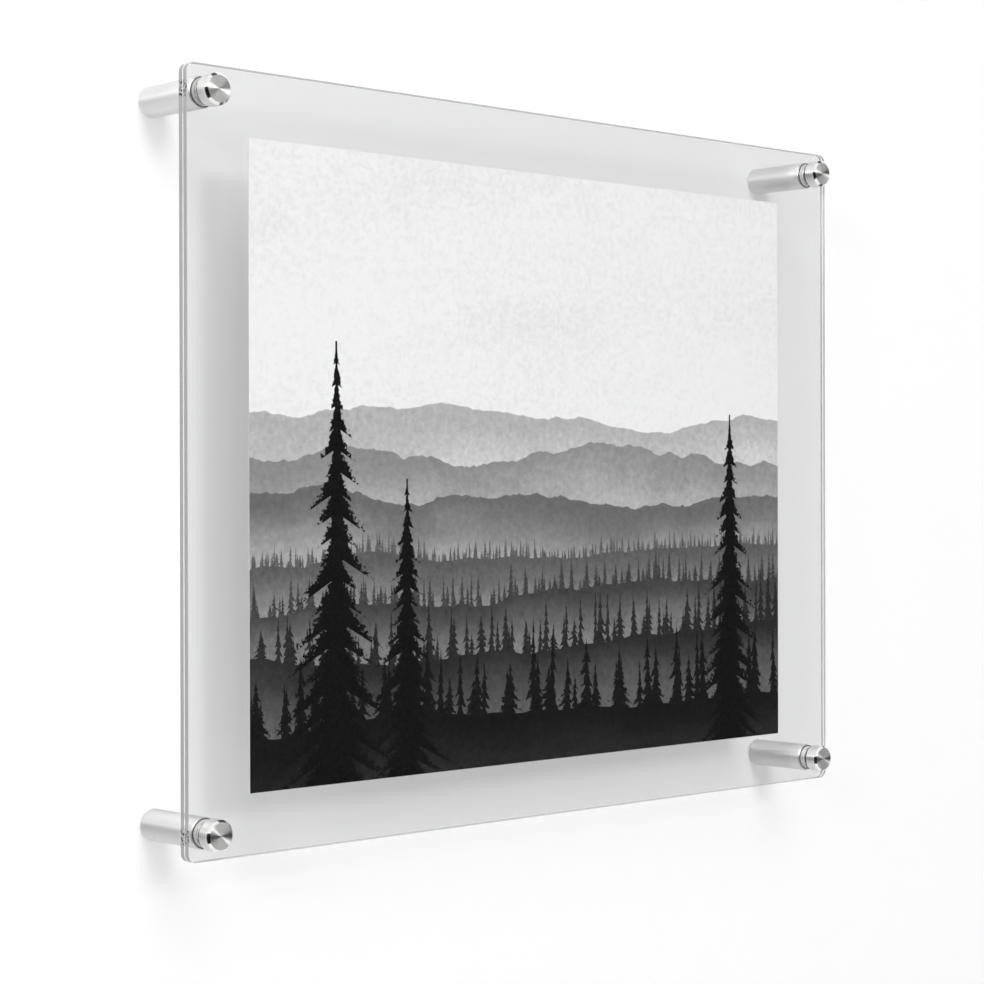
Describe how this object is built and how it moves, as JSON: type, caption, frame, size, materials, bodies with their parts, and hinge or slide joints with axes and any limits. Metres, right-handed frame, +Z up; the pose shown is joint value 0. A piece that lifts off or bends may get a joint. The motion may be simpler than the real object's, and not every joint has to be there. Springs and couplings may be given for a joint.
{
  "type": "floating acrylic wall frame",
  "caption": "Clear acrylic wall frame: a print pinched between two panels held off the wall by round aluminium standoffs with screw caps.",
  "frame": {"origin": "on the wall plane, at the centre of the four standoffs", "axes": "+X to the right as seen from the front, +Y into the wall, +Z up"},
  "size_m": [0.306, 0.0606, 0.243],
  "materials": {
    "acrylic": "clear polished",
    "print": "monochrome photo paper",
    "satin_aluminium": "satin, finely turned",
    "turned_aluminium": "bright, spun face",
    "plated_steel": "zinc plated",
    "nylon": "translucent nylon"
  },
  "bodies": {
    "wall_standoffs": {"barrel_top_left": "satin_aluminium", "hanger_screw_top_left": "plated_steel", "rear_washer_top_left": "nylon", "barrel_top_right": "satin_aluminium", "hanger_screw_top_right": "plated_steel", "rear_washer_top_right": "nylon", "barrel_bottom_left": "satin_aluminium", "hanger_screw_bottom_left": "plated_steel", "rear_washer_bottom_left": "nylon", "barrel_bottom_right": "satin_aluminium", "hanger_screw_bottom_right": "plated_steel", "rear_washer_bottom_right": "nylon"},
    "back_panel": {"back_panel": "acrylic"},
    "front_panel": {"front_panel": "acrylic"},
    "print_sheet": {"print_sheet": "print"},
    "front_washer_top_left": {"front_washer_top_left": "nylon"},
    "cap_top_left": {"cap_top_left": "turned_aluminium", "cap_stud_top_left": "plated_steel"},
    "front_washer_top_right": {"front_washer_top_right": "nylon"},
    "cap_top_right": {"cap_top_right": "turned_aluminium", "cap_stud_top_right": "plated_steel"},
    "front_washer_bottom_left": {"front_washer_bottom_left": "nylon"},
    "cap_bottom_left": {"cap_bottom_left": "turned_aluminium", "cap_stud_bottom_left": "plated_steel"},
    "front_washer_bottom_right": {"front_washer_bottom_right": "nylon"},
    "cap_bottom_right": {"cap_bottom_right": "turned_aluminium", "cap_stud_bottom_right": "plated_steel"}
  },
  "joints": [
    {"name": "back_panel_lift_off", "type": "slide", "parent": "wall_standoffs", "child": "back_panel", "axis": [0, -1, 0], "range_m": [0, 0.06]},
    {"name": "front_panel_lift_off", "type": "slide", "parent": "back_panel", "child": "front_panel", "axis": [0, -1, 0], "range_m": [0, 0.06]},
    {"name": "print_slide_out", "type": "slide", "parent": "back_panel", "child": "print_sheet", "axis": [0, 0, 1], "range_m": [0, 0.225]},
    {"name": "cap_draw_top_left", "type": "slide", "parent": "front_panel", "child": "front_washer_top_left", "axis": [0, -1, 0], "range_m": [0, 0.008]},
    {"name": "cap_turn_top_left", "type": "hinge", "parent": "front_washer_top_left", "child": "cap_top_left", "pos_m": [-0.1448, 0, 0.1133], "axis": [0, -1, 0], "range_deg": [0, 2880]},
    {"name": "cap_draw_top_right", "type": "slide", "parent": "front_panel", "child": "front_washer_top_right", "axis": [0, -1, 0], "range_m": [0, 0.008]},
    {"name": "cap_turn_top_right", "type": "hinge", "parent": "front_washer_top_right", "child": "cap_top_right", "pos_m": [0.1448, 0, 0.1133], "axis": [0, -1, 0], "range_deg": [0, 2880]},
    {"name": "cap_draw_bottom_left", "type": "slide", "parent": "front_panel", "child": "front_washer_bottom_left", "axis": [0, -1, 0], "range_m": [0, 0.008]},
    {"name": "cap_turn_bottom_left", "type": "hinge", "parent": "front_washer_bottom_left", "child": "cap_bottom_left", "pos_m": [-0.1448, 0, -0.1133], "axis": [0, -1, 0], "range_deg": [0, 2880]},
    {"name": "cap_draw_bottom_right", "type": "slide", "parent": "front_panel", "child": "front_washer_bottom_right", "axis": [0, -1, 0], "range_m": [0, 0.008]},
    {"name": "cap_turn_bottom_right", "type": "hinge", "parent": "front_washer_bottom_right", "child": "cap_bottom_right", "pos_m": [0.1448, 0, -0.1133], "axis": [0, -1, 0], "range_deg": [0, 2880]}
  ],
  "couplings": [
    {"joint": "cap_turn_top_left", "follows": "cap_draw_top_left", "rad_per_m": 6283.2},
    {"joint": "cap_turn_top_right", "follows": "cap_draw_top_right", "rad_per_m": 6283.2},
    {"joint": "cap_turn_bottom_left", "follows": "cap_draw_bottom_left", "rad_per_m": 6283.2},
    {"joint": "cap_turn_bottom_right", "follows": "cap_draw_bottom_right", "rad_per_m": 6283.2}
  ]
}
